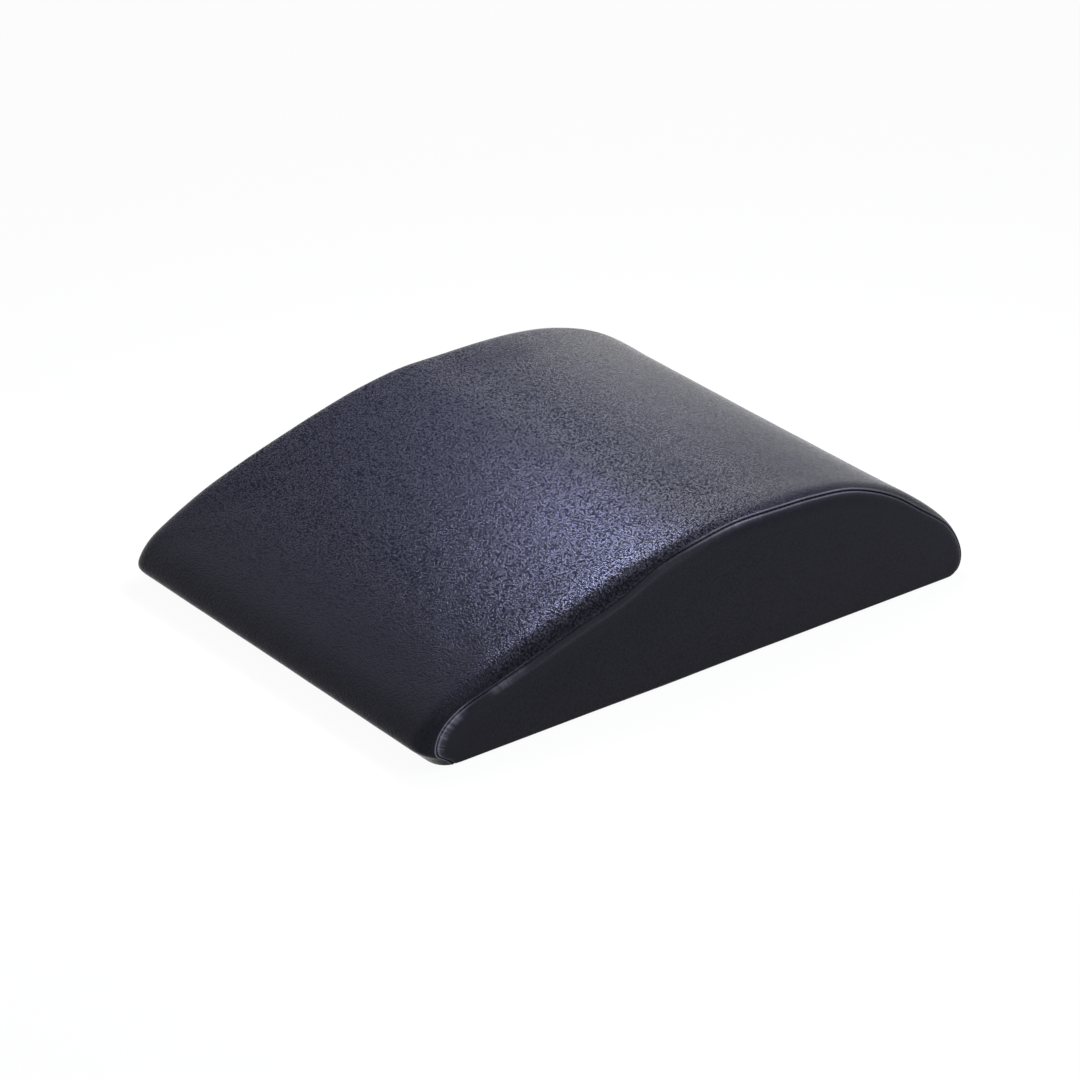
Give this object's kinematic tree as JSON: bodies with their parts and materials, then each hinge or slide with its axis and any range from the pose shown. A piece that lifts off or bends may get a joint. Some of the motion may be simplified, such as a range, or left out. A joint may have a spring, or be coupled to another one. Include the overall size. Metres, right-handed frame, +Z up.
{
  "type": "ab mat",
  "caption": "Arched ab mat, a foam wedge on a plywood board under a sewn black leather-look cover, thin at the nose, blunt at the back, with a flat base to rest on.",
  "frame": {"origin": "on the floor, at the middle of the footprint, midway between the two ends and between nose and back", "axes": "+Z up, -Y towards the thin nose and +Y towards the blunt back, +X towards the right end panel"},
  "size_m": [0.3, 0.412, 0.0925],
  "materials": {
    "cover_leather": "satin black artificial leather with a fine pressed grain",
    "panel_leather": "the same artificial leather, a little smoother and darker, on the flat end panels",
    "foam": "firm closed-cell foam, matt grey",
    "plywood": "raw plywood, sanded edges",
    "underlay_rubber": "matt black anti-slip sheet",
    "staple_steel": "galvanised wire",
    "seam_thread": "black sewing thread"
  },
  "bodies": {
    "root": {"base_board": "plywood", "cover_staple_01": "staple_steel", "cover_staple_02": "staple_steel", "cover_staple_03": "staple_steel", "cover_staple_04": "staple_steel", "cover_staple_05": "staple_steel", "cover_staple_06": "staple_steel", "cover_staple_07": "staple_steel", "cover_staple_08": "staple_steel", "cover_staple_09": "staple_steel", "cover_staple_10": "staple_steel", "cover_staple_11": "staple_steel", "cover_staple_12": "staple_steel", "cover_staple_13": "staple_steel", "cover_staple_14": "staple_steel", "cover_staple_15": "staple_steel", "cover_staple_16": "staple_steel", "cover_staple_17": "staple_steel", "cover_staple_18": "staple_steel", "cover_staple_19": "staple_steel", "cover_staple_20": "staple_steel", "cover_staple_21": "staple_steel", "cover_staple_22": "staple_steel", "end_panel_left": "panel_leather", "end_panel_right": "panel_leather", "foam_core": "foam", "seam_thread_left": "seam_thread", "seam_thread_right": "seam_thread", "top_cover": "cover_leather", "underlay_staple_01": "staple_steel", "underlay_staple_02": "staple_steel", "underlay_staple_03": "staple_steel", "underlay_staple_04": "staple_steel", "underlay_staple_05": "staple_steel", "underlay_staple_06": "staple_steel", "underlay_staple_07": "staple_steel", "underlay_staple_08": "staple_steel", "underlay_staple_09": "staple_steel", "underlay_staple_10": "staple_steel", "underlay_staple_11": "staple_steel", "underlay_staple_12": "staple_steel", "underlay_staple_13": "staple_steel", "underlay_staple_14": "staple_steel", "underlay_staple_15": "staple_steel", "underlay_staple_16": "staple_steel", "underlay_staple_17": "staple_steel", "underlay_staple_18": "staple_steel", "underside_sheet": "underlay_rubber"}
  },
  "joints": []
}
